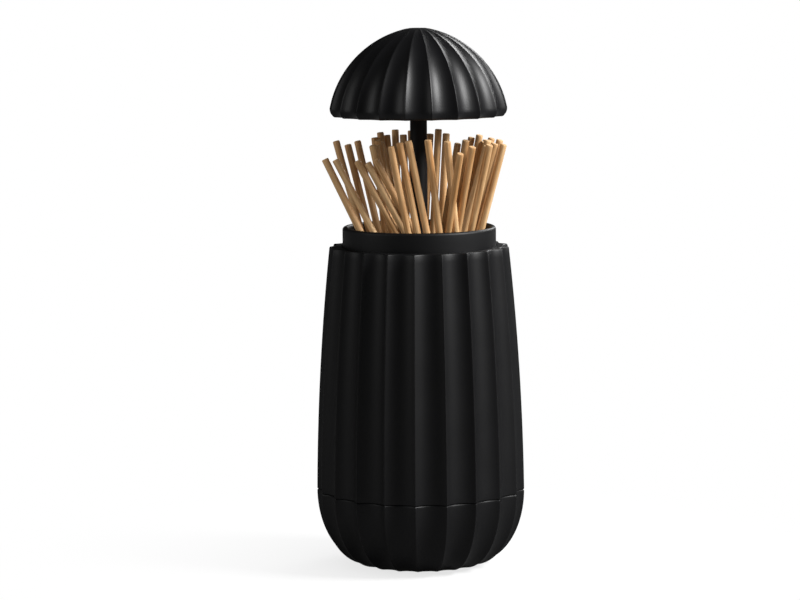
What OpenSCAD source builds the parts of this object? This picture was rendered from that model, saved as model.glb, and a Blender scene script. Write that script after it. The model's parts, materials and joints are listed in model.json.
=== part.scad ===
// Pop-up toothpick dispenser: a fluted body on a fluted bowl, with a fluted dome lid.
// Pressing the lid lets a spring raise the lid and the tray, and the picks fan out over the collar.
// Everything is drawn open, as far up as the lift goes. Millimetres, +Z up, resting on z = 0.

/* [Flutes] */
// Number of flutes round the body, the bowl and the lid
flute_count = 21; // [15:1:28]
// Depth of a body flute at the widest part
flute_depth = 1.9; // [0.8:0.1:2.4]
// Depth of a lid flute at the lid's rim
lid_flute_depth = 1.5; // [0.6:0.1:1.9]
// Facets across one flute
flute_facets = 6; // [4:1:8]
// Turn of the body's first flute edge from the front
body_turn = -3.1; // [-10:0.1:10]
// Turn of the lid's first flute edge from the front
lid_turn = -8.5; // [-10:0.1:10]

/* [Body] */
// Radius over the flute edges at the seam
body_r = 28.5; // [25:0.5:34]
// Radius over the flute edges at the shoulder
shoulder_r = 24.5; // [24:0.5:28]
// How far the side stands out from a straight taper at half height
body_bulge = 0.8; // [0:0.1:2]
// Length of the body from the seam up to the shoulder
body_len = 66.6; // [60:0.2:80]
// Wall of the body behind the flutes
body_wall = 1.9; // [1.2:0.1:2.2]
// Chamfer of the two edges that meet at the seam
seam_chamfer = 0.4; // [0.2:0.1:0.8]
// Length of the body's bore that holds the cup
neck_len = 8; // [4:1:14]

/* [Bowl] */
// Height of the seam above the table
bowl_h = 20.6; // [18:0.2:26]
// Radius of the bowl's edge at the foot
foot_r = 15.5; // [14.5:0.5:17]
// Gap under the bowl's edge
foot_gap = 0.5; // [0.3:0.1:1]
// Wall of the bowl behind the flutes
bowl_wall = 1.8; // [1.2:0.1:2.2]
// Radius of the hole in the bowl's bottom lip
lip_r = 11.5; // [10.5:0.5:12.5]
// Thickness of the bowl's bottom lip
lip_t = 1.6; // [1.2:0.1:2.4]
// Thickness of the rubber foot pad
pad_t = 1.1; // [0.9:0.1:1.6]

/* [Cup] */
// Outer radius of the cup whose rim is the collar
cup_r = 20.8; // [20.3:0.1:20.9]
// Wall of the cup
cup_wall = 1.5; // [1:0.1:2]
// Height of the collar above the shoulder
collar_h = 5.3; // [3:0.1:5.4]
// Running gap between the tray and the cup
tray_gap = 0.4; // [0.3:0.05:0.8]

/* [Lid] */
// Radius over the flute edges at the lid's rim
lid_r = 24.2; // [23.6:0.1:27]
// Height of the lid from its rim to the flat tip
lid_h = 23.6; // [21:0.2:30]
// Height of the lid's widest ring above its rim
lid_band_h = 2; // [1.5:0.1:3]
// How far the dome's arc is struck past the axis, which makes it pointed
dome_offset = 2.6; // [0:0.1:5]
// Wall of the lid behind the flutes
lid_wall = 1.2; // [0.8:0.1:1.6]
// Radius of the flat disc at the tip
tip_r = 2.5; // [1.5:0.1:4]
// Height of the inner plate above the lid's rim
plate_rise = 6.2; // [5.9:0.1:8]

/* [Lift] */
// Travel of the lift from fully pressed to open
travel = 34.5; // [28:0.5:36]
// Gap between the lid's rim and the shoulder when fully pressed
press_gap = 0.7; // [0.5:0.1:2]
// Distance from the lid's rim down to the top of the tray
tray_drop = 65; // [62:0.5:66]
// Thickness of the tray
tray_t = 2; // [1.6:0.1:2.6]
// Outer radius of the hollow stem
stem_r = 2.3; // [2.1:0.1:2.5]
// Bore radius of the hollow stem
stem_bore_r = 1.7; // [1.6:0.05:1.8]
// Radius of the fixed guide rod
rod_r = 1; // [0.8:0.05:1.1]
// Radial running clearance of turning and sliding fits
fit = 0.08; // [0.03:0.01:0.1]

/* [Spring and latch] */
// Mean radius of the lift spring
spring_r = 9.6; // [9.4:0.1:10.2]
// Wire diameter of the lift spring
wire_d = 1.1; // [0.8:0.1:1.2]
// Number of turns of the lift spring
spring_turns = 9; // [7:1:9]
// Rise of the closed turn at each end of the spring
end_pitch = 1.6; // [1.6:0.1:2]
// Number of hooks in the latch, and of lugs on its rotor
lug_count = 4; // [3:1:5]
// Width of a rotor lug as an angle
lug_angle = 24; // [18:1:30]
// Clearance angle on each side of a lug in its slot
slot_play = 5; // [3:1:8]
// Outer radius of the latch sleeve
sleeve_r = 8.2; // [8.1:0.1:8.4]
// Wall of the latch sleeve
sleeve_wall = 1; // [0.8:0.1:1.1]

/* [Picks] */
// Length of the longest toothpick
pick_len = 60.5; // [58:0.5:64]
// Diameter of a toothpick
pick_d = 2; // [1.6:0.1:2]
// Length of the pointed end
point_len = 8; // [5:1:12]
// Height above the tray of the point about which a bundle leans
foot_lift = 1.2; // [1.2:0.1:1.6]
// How much shorter than the others the shortest pick is
pick_spread = 1.5; // [0:0.1:2]

/* [Hidden] */
$fn = 96;
pitch = 360 / flute_count;
ring_count = flute_count * flute_facets;
front = -90;
touch = 0.05;

shoulder_z = bowl_h + body_len;
rim_z = shoulder_z + collar_h;
lid_z = shoulder_z + press_gap + travel;
tray_z = lid_z - tray_drop;
tray_bottom_z = tray_z - tray_t;
cup_in_r = cup_r - cup_wall;
tray_r = cup_in_r - tray_gap;

lip_z = foot_gap + 1.3;
floor_z = lip_z + lip_t;
floor_t = 2.5;
sleeve_z = floor_z + floor_t;
sleeve_foot_t = 1.4;
spring_z = sleeve_z + sleeve_foot_t;
skirt_len = 3;
cup_z = tray_bottom_z - travel - skirt_len - 1;
cup_seat_t = 2;
spigot_len = 10;
spigot_gap = 0.4;
spigot_r = min(body_inner(max(cup_z, bowl_h))[0], body_inner(cup_z + spigot_len)[0],
    bowl_inner(min(cup_z, bowl_h))[0]) - spigot_gap;
seat_edge_r = min(spigot_r - 1, bowl_inner(min(cup_z - cup_seat_t, bowl_h))[0] - spigot_gap);
spigot_wall = 1.5;
well_r = cup_in_r - 2.2;
well_wall = 1.6;
floor_r = well_r + 0.9;

plate_t = 1.6;
hub_r = 5;
hub_h = 6;
hub_drop = 2;
stem_top_z = lid_z + plate_rise - hub_drop - 0.1;
spigot_top_z = lid_z + plate_rise + hub_h;
pivot_r = 1.6;
screw_r = 0.9;
washer_r = 4.2;
washer_t = 0.8;

tray_hub_r = 4.4;
tray_hub_h = 2;
rotor_h = 9.8;
rotor_r = 5;
lug_r = 6.9;
lug_h = 4;
lug_lift = 0.6;
rotor_top_z = tray_bottom_z - tray_hub_h - 0.2;
rotor_z = rotor_top_z - rotor_h;
clip_t = 0.8;
clip_z = rotor_z - clip_t - 0.2;
stem_z = clip_z - 0.4;
bush_len = 6;
nut_h = 2;
rod_top_z = stem_z + bush_len + 0.2 + nut_h;
boss_r = 4;
boss_top_z = stem_z - travel - 0.3;

sleeve_h = tray_bottom_z - travel - 1.9 - sleeve_z;
hook_r = rotor_r + 0.5;
hook_h = 3;
hook_z = rotor_z - travel + lug_lift + lug_h + 1.5;

plate_edge_r = foot_r - 1.2;
pad_r = plate_edge_r - 1.2;
pad_recess = pad_t - 0.4;
base_screw_ring = 8.5;
base_screw_count = 3;
base_screw_r = 1.05;
sleeve_foot_r = well_r - 1.1;
sleeve_screw_ring = 12.9;
sleeve_screw_count = 3;
sleeve_screw_r = 0.8;
screw_floor = 0.6;

hinge_z = tray_z + foot_lift;
rim_rise = rim_z - hinge_z;
point_r = 0.35;

// Bundles of picks, laid out by hand for a cup of this inner radius: number of picks, foot
// [x, y], run from the foot to the collar [x, y], turn of the row of feet, how far the row
// opens at the collar, space between two feet
layout_r = 19.3;
BUNDLES = [
    [2, [2.5, -9.5], [-17, 3.5], 190, -1, 4.2],
    [3, [13, -1], [-17.5, -4.5], 0, 0, 2.2],
    [3, [6, -15], [-6.5, -2], 5, 0, 2.4],
    [2, [11, -11], [-3.5, -4], 25, 1, 3.8],
    [2, [3.5, -4], [5.5, -9.5], 50, 1, 3],
    [2, [7.5, -1], [8, -5], 70, 5, 4],
    [2, [3.5, 2], [9, -3.5], 90, 0, 2.2],
    [3, [6.5, 8], [8.5, -4], 115, 0, 2.4],
    [3, [5.5, 13], [6.5, -3.5], 155, 0, 2.2],
    [2, [2.5, 12.5], [5.5, -7.5], 145, 0, 2.4],
    [3, [2, 16], [2, -1], 180, 0, 2.2],
    [3, [-2.5, 12], [-1, 4], 180, 0, 2.2],
    [3, [-4.5, 7.5], [-3.5, 5], 220, 0, 2.2],
    [3, [-5.5, 0], [-8.5, 6.5], 225, 1, 2.2],
    [3, [5, 6], [8.5, -4], 115, 0.5, 2.2],
    [4, [0.5, 7.5], [-7, -6.5], 70, 0, 2.2]
];
bundle_count = len(BUNDLES);

plastic_black = [0.09, 0.09, 0.1];
lid_black = [0.12, 0.12, 0.13];
steel = [0.7, 0.7, 0.72];
white_nylon = [0.85, 0.85, 0.82];
rubber_grey = [0.2, 0.2, 0.2];
bamboo = [0.82, 0.66, 0.45];

function two_digits(k) = str(k < 10 ? "0" : "", k);
PICK_NODES = [for (k = [1:bundle_count]) str("picks_", two_digits(k))];

// ---- Fluted shells -------------------------------------------------------------------------

// Distance from the axis to the middle of the arc that cuts a flute of this depth
function flute_centre(r, depth) =
    depth * (2 * r - depth) / (2 * (depth - r * (1 - cos(pitch / 2))));

// Radius of a fluted ring at an angle from the middle of a flute
function flute_radius(r, depth, angle) =
    let (c = flute_centre(r, depth), a = c - r + depth)
    c * cos(angle) - sqrt(a * a - pow(c * sin(angle), 2));

// Points of one ring [radius, height, flute depth], where a depth of 0 gives a plain circle
function ring_points(ring, turn) =
    [for (k = [0:ring_count - 1])
        let (angle = (k % flute_facets) / flute_facets * pitch - pitch / 2,
             r = ring[2] > 0 ? flute_radius(ring[0], ring[2], angle) : ring[0],
             a = front + turn + k * 360 / ring_count)
        [r * cos(a), r * sin(a), ring[1]]];

// Faces between ring i and ring j
function ring_band(i, j) =
    [for (k = [0:ring_count - 1])
        let (n = (k + 1) % ring_count)
        [i * ring_count + k, j * ring_count + k, j * ring_count + n, i * ring_count + n]];

// A solid through rings, from the outside of the foot up, over the top and down the inside.
// A ring-shaped solid closes on its first ring, and a dome is capped at its tip instead.
module ring_solid(rings, turn, tip = -1) {
    last = len(rings) - 1;
    capped = tip >= 0;
    cap_out = [for (k = [ring_count - 1:-1:0]) tip * ring_count + k];
    cap_in = [for (k = [0:ring_count - 1]) (tip + 1) * ring_count + k];
    polyhedron(
        points = [for (ring = rings) each ring_points(ring, turn)],
        faces = concat(
            [for (i = [0:last - 1]) if (i != tip) each ring_band(i, i + 1)],
            ring_band(last, 0),
            capped ? [cap_out, cap_in] : []),
        convexity = 10);
}

function body_radius(z) =
    let (t = (z - bowl_h) / body_len)
    body_r + (shoulder_r - body_r) * t + 4 * body_bulge * t * (1 - t);
function body_depth(r) = flute_depth * r / body_r;
function body_ring(z) = [body_radius(z), z, body_depth(body_radius(z))];
function body_inner(z) =
    [body_radius(z) - body_depth(body_radius(z)) - body_wall, z, 0];

// The bowl's side is a quarter ellipse from the seam down to the foot
function bowl_radius(z) =
    foot_r + (body_r - foot_r) * sqrt(1 - pow((bowl_h - z) / (bowl_h - foot_gap), 2));
function bowl_ring(z) = [bowl_radius(z), z, body_depth(bowl_radius(z))];
function bowl_inner(z) =
    [bowl_radius(z) - body_depth(bowl_radius(z)) - bowl_wall, z, 0];

// The dome is an arc struck from past the axis, from the widest ring to the flat tip
dome_centre_h = (pow(lid_h, 2) - pow(lid_band_h, 2) - pow(lid_r + dome_offset, 2)
    + pow(tip_r + dome_offset, 2)) / (2 * (lid_h - lid_band_h));
dome_r = sqrt(pow(tip_r + dome_offset, 2) + pow(lid_h - dome_centre_h, 2));
dome_in_r = dome_r - lid_flute_depth - lid_wall;
function dome_radius(h, r) = sqrt(r * r - pow(h - dome_centre_h, 2)) - dome_offset;
function lid_depth(r) = lid_flute_depth * r / lid_r;
function lid_ring(r, h) = [r, lid_z + h, lid_depth(r)];
lid_bore_r = cup_r + 0.4;
dome_in_top = dome_centre_h + sqrt(pow(dome_in_r, 2) - pow(dome_offset + 1, 2));

module body_shell() {
    neck_r = cup_r + 0.1;
    outer_steps = 8;
    low = bowl_h + seam_chamfer;
    high = shoulder_z - seam_chamfer;
    wall_top = shoulder_z - neck_len - 1;
    wall_steps = 3;
    rings = concat(
        [[body_ring(bowl_h)[0] - seam_chamfer, bowl_h, body_ring(bowl_h)[2]]],
        [for (s = [0:outer_steps]) body_ring(low + (high - low) * s / outer_steps)],
        [[shoulder_r - seam_chamfer, shoulder_z, body_depth(shoulder_r)]],
        [[neck_r, shoulder_z, 0], [neck_r, shoulder_z - neck_len, 0]],
        [for (s = [1:wall_steps]) body_inner(wall_top - (wall_top - bowl_h) * s / wall_steps)]);
    color(plastic_black) ring_solid(rings, body_turn);
}

module base_bowl() {
    floor_edge_r = bowl_inner(6)[0] - 2.6;
    heights = [foot_gap + 0.01, 1.4, 3, 5, 7.6, 11, 15.4, bowl_h - seam_chamfer];
    rings = concat(
        [for (z = heights) bowl_ring(z)],
        [[body_r - seam_chamfer, bowl_h, flute_depth]],
        [for (z = [bowl_h, 17.5, 14.5, 9.5, 6]) bowl_inner(z)],
        [[floor_edge_r, floor_z, 0]],
        [[lip_r, floor_z, 0], [lip_r, lip_z, 0], [plate_edge_r + 0.1, lip_z, 0]],
        [[plate_edge_r + 0.1, foot_gap, 0]]);
    color(plastic_black) ring_solid(rings, body_turn);
}

module lid_dome() {
    steps = 9;
    arc = [for (s = [1:steps - 1])
        let (h = lid_band_h + (lid_h - lid_band_h) * sin(90 * s / steps))
        lid_ring(dome_radius(h, dome_r), h)];
    plate_top = plate_rise + plate_t;
    inner_arc = [for (s = [3:-1:0])
        let (h = plate_top + (dome_in_top - plate_top) * sin(90 * s / 3))
        [dome_radius(h, dome_in_r), lid_z + h, 0]];
    rings = concat(
        [lid_ring(lid_r - 1.2, 0), lid_ring(lid_r - 0.45, 0.35), lid_ring(lid_r - 0.1, 1)],
        [lid_ring(lid_r, lid_band_h)],
        arc,
        [[tip_r, lid_z + lid_h, 0]],
        inner_arc,
        [[dome_radius(plate_rise, dome_in_r), lid_z + plate_rise, 0]],
        [[lid_bore_r, lid_z + plate_rise - 1.2, 0], [lid_bore_r, lid_z, 0]]);
    color(lid_black) ring_solid(rings, lid_turn, tip = 3 + steps);
}

// ---- Small shapes --------------------------------------------------------------------------

// A tube between two heights
module tube(outer, inner, z0, z1) {
    translate([0, 0, z0]) difference() {
        cylinder(r = outer, h = z1 - z0);
        translate([0, 0, -1]) cylinder(r = inner, h = z1 - z0 + 2);
    }
}

// Copies set round the axis
module around(count, ring, turn = 0) {
    for (k = [0:count - 1]) rotate(turn + k * 360 / count) translate([ring, 0, 0]) children();
}

// A wedge of the given width as an angle, centred on +X
module wedge(angle, reach, h) {
    linear_extrude(h)
        polygon([[0, 0], for (s = [-2:2]) reach / cos(angle / 2) * [cos(s * angle / 4),
            sin(s * angle / 4)]]);
}

// A pan-head screw standing on its tip, with a cross recess in the head
module pan_screw(shank_r, shank_len, head_r, head_h) {
    difference() {
        union() {
            cylinder(r = shank_r, h = shank_len);
            translate([0, 0, shank_len]) cylinder(r = head_r, h = head_h);
        }
        for (a = [0, 90])
            translate([0, 0, shank_len + head_h / 2]) rotate(a)
                translate([-head_r * 0.6, -head_r * 0.12, 0])
                    cube([head_r * 1.2, head_r * 0.24, head_h]);
    }
}

// ---- Base ----------------------------------------------------------------------------------

// Smooth cup with an open bottom, whose rounded rim is the collar
module inner_cup() {
    rim_r = cup_wall / 2;
    color(plastic_black) union() {
        tube(cup_r, cup_in_r, cup_z, rim_z - rim_r);
        translate([0, 0, rim_z - rim_r]) rotate_extrude()
            translate([cup_r - rim_r, 0]) circle(r = rim_r, $fn = 48);
    }
}

// Moulded inner base: boss for the rod, floor for the latch, well for the tray's skirt, seat for
// the cup and a spigot that centres the body on the bowl
module inner_base() {
    color(plastic_black) difference() {
        rotate_extrude() polygon([
            [0, floor_z], [floor_r, floor_z], [well_r + well_wall, floor_z + floor_t],
            [well_r + well_wall, cup_z - cup_seat_t], [seat_edge_r, cup_z - cup_seat_t],
            [spigot_r, cup_z], [spigot_r, cup_z + spigot_len],
            [spigot_r - spigot_wall, cup_z + spigot_len], [spigot_r - spigot_wall, cup_z],
            [well_r, cup_z], [well_r, sleeve_z],
            [boss_r, sleeve_z], [boss_r, boss_top_z], [0, boss_top_z]]);
        translate([0, 0, floor_z - 1]) cylinder(r = rod_r, h = boss_top_z - floor_z + 2);
        around(base_screw_count, base_screw_ring)
            translate([0, 0, floor_z - 1]) cylinder(r = base_screw_r, h = floor_t);
        around(sleeve_screw_count, sleeve_screw_ring, 60)
            translate([0, 0, sleeve_z - floor_t + screw_floor])
                cylinder(r = sleeve_screw_r, h = floor_t);
    }
}

// Bottom plate that clamps the bowl's lip to the inner base
module foot_plate() {
    plate_z = foot_gap + 0.2;
    color(plastic_black) difference() {
        union() {
            translate([0, 0, plate_z]) cylinder(r = plate_edge_r, h = lip_z - plate_z);
            translate([0, 0, plate_z]) cylinder(r = lip_r - 0.2, h = floor_z - plate_z);
        }
        translate([0, 0, plate_z - 1]) cylinder(r = pad_r + 0.1, h = 1 + pad_recess);
        around(base_screw_count, base_screw_ring) {
            cylinder(r = base_screw_r + 0.25, h = floor_z + 1);
            cylinder(r = base_screw_r + 1.45, h = plate_z + pad_recess + 0.8);
        }
    }
}

module foot_pad() {
    color(rubber_grey) cylinder(r = pad_r, h = pad_t);
}

module base_screws() {
    head_z = foot_gap + 0.2 + pad_recess + 0.8;
    color(steel) around(base_screw_count, base_screw_ring)
        translate([0, 0, floor_z + floor_t - 1]) mirror([0, 0, 1])
            pan_screw(base_screw_r, floor_z + floor_t - 1 - head_z, base_screw_r + 1.2, 0.7);
}

// A ramped lug or hook between two radii, centred on +X, its top sloping round the axis
module ramped_lug(inner, outer, angle, h) {
    slope = 20;
    ramp_drop = 0.6;
    difference() {
        intersection() {
            tube(outer, inner, 0, h);
            wedge(angle, outer + 1, h);
        }
        translate([0, -2 * outer, h - ramp_drop]) rotate([slope, 0, 0])
            cube([2 * outer, 4 * outer, h]);
    }
}

// Sleeve with inward hooks: the rotor's lugs go down between them and turn in under them
module latch_sleeve() {
    slot = lug_angle + 2 * slot_play;
    color(white_nylon) difference() {
        union() {
            tube(sleeve_foot_r, boss_r + 0.5, sleeve_z, sleeve_z + sleeve_foot_t);
            tube(sleeve_r, sleeve_r - sleeve_wall, sleeve_z, sleeve_z + sleeve_h);
            around(lug_count, 0, 180 / lug_count) translate([0, 0, hook_z])
                ramped_lug(hook_r, sleeve_r - sleeve_wall / 2, 360 / lug_count - slot, hook_h);
        }
        around(sleeve_screw_count, sleeve_screw_ring, 60)
            cylinder(r = sleeve_screw_r + 0.2, h = sleeve_z + sleeve_foot_t + 1);
    }
}

module sleeve_screws() {
    tip_z = sleeve_z - floor_t + screw_floor;
    color(steel) around(sleeve_screw_count, sleeve_screw_ring, 60) translate([0, 0, tip_z])
        pan_screw(sleeve_screw_r, sleeve_z + sleeve_foot_t - tip_z, 1.6, 0.9);
}

module guide_rod() {
    color(steel) translate([0, 0, floor_z + 0.1])
        cylinder(r = rod_r, h = rod_top_z - floor_z - 0.1);
}

// Nut on top of the rod, against which the stem's bush stops when the lift is up
module stop_nut() {
    color(steel) difference() {
        translate([0, 0, rod_top_z - nut_h]) cylinder(r = stem_bore_r - 0.15, h = nut_h - 0.3);
        cylinder(r = rod_r, h = rod_top_z + 1);
    }
}

// ---- Spring --------------------------------------------------------------------------------

coil_sides = 6;
coil_rings = 8;
coil_steps = spring_turns * coil_rings;
coil_low = spring_z + wire_d / 2 + touch;
coil_high = tray_bottom_z - wire_d / 2 - touch;
coil_pitch = (coil_high - coil_low - 2 * end_pitch) / (spring_turns - 2);

// Height of the wire's centre line after so many turns, with a closed turn at each end
function coil_z(t) =
    t < 1 ? coil_low + end_pitch * t
    : t > spring_turns - 1 ? coil_high - end_pitch * (spring_turns - t)
    : coil_low + end_pitch + coil_pitch * (t - 1);
coil_path = [for (s = [0:coil_steps])
    let (t = s / coil_rings) [spring_r * cos(360 * t), spring_r * sin(360 * t), coil_z(t)]];
function coil_point(s, k) =
    let (a = 360 * s / coil_rings, b = 360 * k / coil_sides,
         r = spring_r + wire_d / 2 * cos(b))
    [r * cos(a), r * sin(a), coil_path[s][2] + wire_d / 2 * sin(b)];
coil_gap = min([for (s = [0:coil_steps - coil_rings])
    norm(coil_path[s + coil_rings] - coil_path[s])]) - wire_d;
echo(least_gap_between_spring_turns = coil_gap);

module lift_spring() {
    color(steel) polyhedron(
        points = [for (s = [0:coil_steps]) for (k = [0:coil_sides - 1]) coil_point(s, k)],
        faces = concat(
            [[for (k = [0:coil_sides - 1]) k]],
            [for (s = [0:coil_steps - 1]) for (k = [0:coil_sides - 1])
                let (n = (k + 1) % coil_sides, i = s * coil_sides, j = i + coil_sides)
                each [[i + k, j + k, j + n], [i + k, j + n, i + n]]],
            [[for (k = [coil_sides - 1:-1:0]) coil_steps * coil_sides + k]]),
        convexity = 20);
}

// ---- Lift ----------------------------------------------------------------------------------

// Hollow stem: bush at its foot, a flange on the tray, and a spigot at its top for the lid
module stem() {
    flange_r = stem_r + 0.6;
    rod_room = travel + 4;
    color(plastic_black) difference() {
        union() {
            translate([0, 0, stem_z]) cylinder(r = stem_r, h = stem_top_z - stem_z);
            translate([0, 0, tray_z]) cylinder(r = flange_r, h = 0.6);
            translate([0, 0, stem_top_z - 1]) cylinder(r = pivot_r, h = spigot_top_z - stem_top_z + 1);
        }
        translate([0, 0, stem_z - 1])
            cylinder(r = stem_bore_r, h = rod_top_z + rod_room - stem_z + 1);
        translate([0, 0, spigot_top_z - 6]) cylinder(r = screw_r, h = 7);
        translate([0, 0, clip_z]) clip_groove();
    }
}

// Groove in the stem that the rotor's clip sits in
module clip_groove() {
    difference() {
        cylinder(r = stem_r + 1, h = clip_t);
        translate([0, 0, -1]) cylinder(r = stem_r - 0.25, h = clip_t + 2);
    }
}

// Tray that the picks stand on, with a hub, ribs and a skirt that guides it in the cup
module lift_tray() {
    rib_t = 1.2;
    rib_count = 6;
    rib_start = spring_r + wire_d / 2 + 0.8;
    color(plastic_black) union() {
        tube(tray_r, stem_r, tray_bottom_z, tray_z);
        tube(tray_r, tray_r - 1.2, tray_bottom_z - skirt_len, tray_bottom_z);
        tube(tray_hub_r, stem_r, tray_bottom_z - tray_hub_h, tray_bottom_z);
        for (k = [0:rib_count - 1]) rotate(360 / rib_count * k)
            translate([rib_start, -rib_t / 2, tray_bottom_z - skirt_len + 0.6])
                cube([tray_r - 0.8 - rib_start, rib_t, skirt_len - 0.6]);
    }
}

module stem_bush() {
    color(white_nylon) tube(stem_bore_r, rod_r + fit, stem_z, stem_z + bush_len);
}

module rotor_clip() {
    color(steel) difference() {
        tube(stem_r + 1.5, stem_r - 0.25, clip_z, clip_z + clip_t);
        translate([0, -1.2, clip_z - 1]) cube([stem_r + 3, 2.4, clip_t + 2]);
    }
}

// Rotor that turns a step at each press, so that its lugs catch under the sleeve's hooks
module latch_rotor() {
    color(white_nylon) union() {
        tube(rotor_r, stem_r + fit, rotor_z, rotor_top_z);
        around(lug_count, 0) translate([0, 0, rotor_z + lug_lift])
            ramped_lug(rotor_r - 0.5, lug_r, lug_angle, lug_h);
    }
}

module lid_washer() {
    z = lid_z + plate_rise + hub_h;
    color(steel) tube(washer_r, screw_r + 0.1, z, z + washer_t);
}

module lid_screw() {
    shank_len = 5.5;
    z = lid_z + plate_rise + hub_h + washer_t - shank_len;
    color(steel) translate([0, 0, z]) pan_screw(screw_r, shank_len, 2.2, 1.4);
}

// Inner plate of the lid, with the hub that turns on the stem and ribs that stiffen it
module lid_core() {
    edge = 0.06;
    plate_z = lid_z + plate_rise;
    top_r = dome_radius(plate_rise + plate_t, dome_in_r) - edge;
    low_r = dome_radius(plate_rise, dome_in_r) - edge;
    rib_r = 13;
    rib_count = 6;
    color(plastic_black) difference() {
        union() {
            translate([0, 0, plate_z]) cylinder(r1 = low_r, r2 = top_r, h = plate_t);
            translate([0, 0, plate_z - hub_drop]) cylinder(r = hub_r - 1.4, h = hub_drop + 1);
            translate([0, 0, plate_z]) cylinder(r = hub_r, h = hub_h - 0.1);
            for (k = [0:rib_count - 1]) rotate(360 / rib_count * (k + 0.5))
                translate([hub_r - 0.5, -0.6, plate_z + 0.5]) cube([rib_r - hub_r, 1.2, plate_t + 2]);
        }
        translate([0, 0, plate_z - hub_drop - 1])
            cylinder(r = pivot_r + fit, h = hub_drop + hub_h + 2);
    }
}

// ---- Picks ---------------------------------------------------------------------------------

// One pick standing on its point
module pick(len) {
    cylinder(r1 = point_r, r2 = pick_d / 2, h = point_len, $fn = 24);
    translate([0, 0, point_len]) cylinder(r = pick_d / 2, h = len - point_len, $fn = 24);
}

// A number between -1 and 1 that differs from one bundle to the next
function vary(k, seed) = sin(k * 137.5 + seed * 71);

// Bundle k: its foot and its run to the collar, both scaled with the cup
function bundle_foot(k) = BUNDLES[k - 1][1] * cup_in_r / layout_r;
function bundle_run(k) = BUNDLES[k - 1][2] * cup_in_r / layout_r;
function bundle_base(k) = [bundle_foot(k)[0], bundle_foot(k)[1], hinge_z];
function bundle_tilt(k) = atan(norm(bundle_run(k)) / rim_rise);
function bundle_axis(k) = [-bundle_run(k)[1], bundle_run(k)[0], 0] / norm(bundle_run(k));

// How far a point of the row sinks towards the tray as the bundle leans out
function bundle_drop(k, offset) =
    let (run = bundle_run(k))
    max(0, offset * cos(BUNDLES[k - 1][3] - atan2(run[1], run[0])) * sin(bundle_tilt(k)));

// A bundle is a row of picks on the tray that opens like a fan, and leans as one
module bundle(k) {
    count = BUNDLES[k - 1][0];
    turn = BUNDLES[k - 1][3];
    opening = BUNDLES[k - 1][4];
    space = BUNDLES[k - 1][5];
    foot_gap_z = touch + point_r * sin(bundle_tilt(k));
    color(bamboo) translate(bundle_base(k)) rotate(a = bundle_tilt(k), v = bundle_axis(k))
        rotate(turn)
            for (i = [0:count - 1])
                let (s = i - (count - 1) / 2,
                     below = foot_lift - foot_gap_z - bundle_drop(k, space * s))
                translate([space * s, 0, 0]) rotate([0, atan(opening * s / rim_rise), 0])
                    translate([0, 0, -below])
                        pick(pick_len - pick_spread * (1 + vary(4 * k + i, 3)) / 2);
}

// The hinge of each bundle and the main levels, for setting up the joints
echo(bundles = [for (k = [1:bundle_count])
    [PICK_NODES[k - 1], bundle_base(k), bundle_axis(k), bundle_tilt(k)]]);
echo(levels = [cup_z, tray_z, rim_z, lid_z, shoulder_z, spring_z]);

body_shell();
base_bowl();
inner_cup();
inner_base();
foot_plate();
foot_pad();
base_screws();
latch_sleeve();
sleeve_screws();
guide_rod();
stop_nut();
lift_spring();
stem();
lift_tray();
stem_bush();
rotor_clip();
lid_washer();
lid_screw();
latch_rotor();
lid_dome();
lid_core();
for (k = [1:bundle_count]) bundle(k);
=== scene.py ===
"""Looks of a pop-up toothpick dispenser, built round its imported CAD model.

Every piece is in metres, in the CAD model's own frame, and stands where its CAD node stands.
"""

import json
import math

import bpy
import numpy as np
from mathutils import Matrix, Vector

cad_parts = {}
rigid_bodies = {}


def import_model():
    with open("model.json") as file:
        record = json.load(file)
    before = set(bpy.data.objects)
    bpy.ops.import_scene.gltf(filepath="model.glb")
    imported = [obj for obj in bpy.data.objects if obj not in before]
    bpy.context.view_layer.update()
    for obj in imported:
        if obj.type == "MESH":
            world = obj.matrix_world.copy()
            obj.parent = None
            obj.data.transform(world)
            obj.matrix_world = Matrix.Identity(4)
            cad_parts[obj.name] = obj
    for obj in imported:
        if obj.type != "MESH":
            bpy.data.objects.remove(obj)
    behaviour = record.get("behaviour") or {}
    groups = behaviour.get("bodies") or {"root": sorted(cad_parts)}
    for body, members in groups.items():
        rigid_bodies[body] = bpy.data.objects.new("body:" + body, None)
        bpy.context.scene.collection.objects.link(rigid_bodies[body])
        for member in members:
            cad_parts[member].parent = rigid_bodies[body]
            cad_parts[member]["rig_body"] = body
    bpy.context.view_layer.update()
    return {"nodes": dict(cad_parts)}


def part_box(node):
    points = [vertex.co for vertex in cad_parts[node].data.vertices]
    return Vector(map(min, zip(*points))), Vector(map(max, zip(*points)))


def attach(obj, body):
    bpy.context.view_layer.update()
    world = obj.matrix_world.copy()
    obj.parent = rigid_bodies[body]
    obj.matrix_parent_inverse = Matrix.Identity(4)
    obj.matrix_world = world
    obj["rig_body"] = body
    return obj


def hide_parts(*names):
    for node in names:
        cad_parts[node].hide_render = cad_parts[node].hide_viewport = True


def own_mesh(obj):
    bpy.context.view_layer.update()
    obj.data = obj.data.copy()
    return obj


bl_info = {
    "name": "Pop-up Toothpick Dispenser",
    "version": (1, 0, 0),
    "blender": (4, 5, 0),
    "location": "3D View > Sidebar > Dispenser",
    "description": "Builds the fluted shells, bamboo picks and studio of a toothpick dispenser",
    "category": "Object",
}

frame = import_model()
MM = 0.001
FRONT = -90.0  # direction of the camera's side, in degrees from +X
WHITE = (1.0, 1.0, 1.0, 1.0)

# Depth of the moulded grain, in metres
SHELL_GRAIN, INNER_GRAIN, CUP_GRAIN = 0.00003, 0.00002, 0.000015

# Angle in degrees above which an edge stays sharp
SHELL_SHARP, TURNED_SHARP, FINE_SHARP = 40.0, 35.0, 50.0


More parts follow.
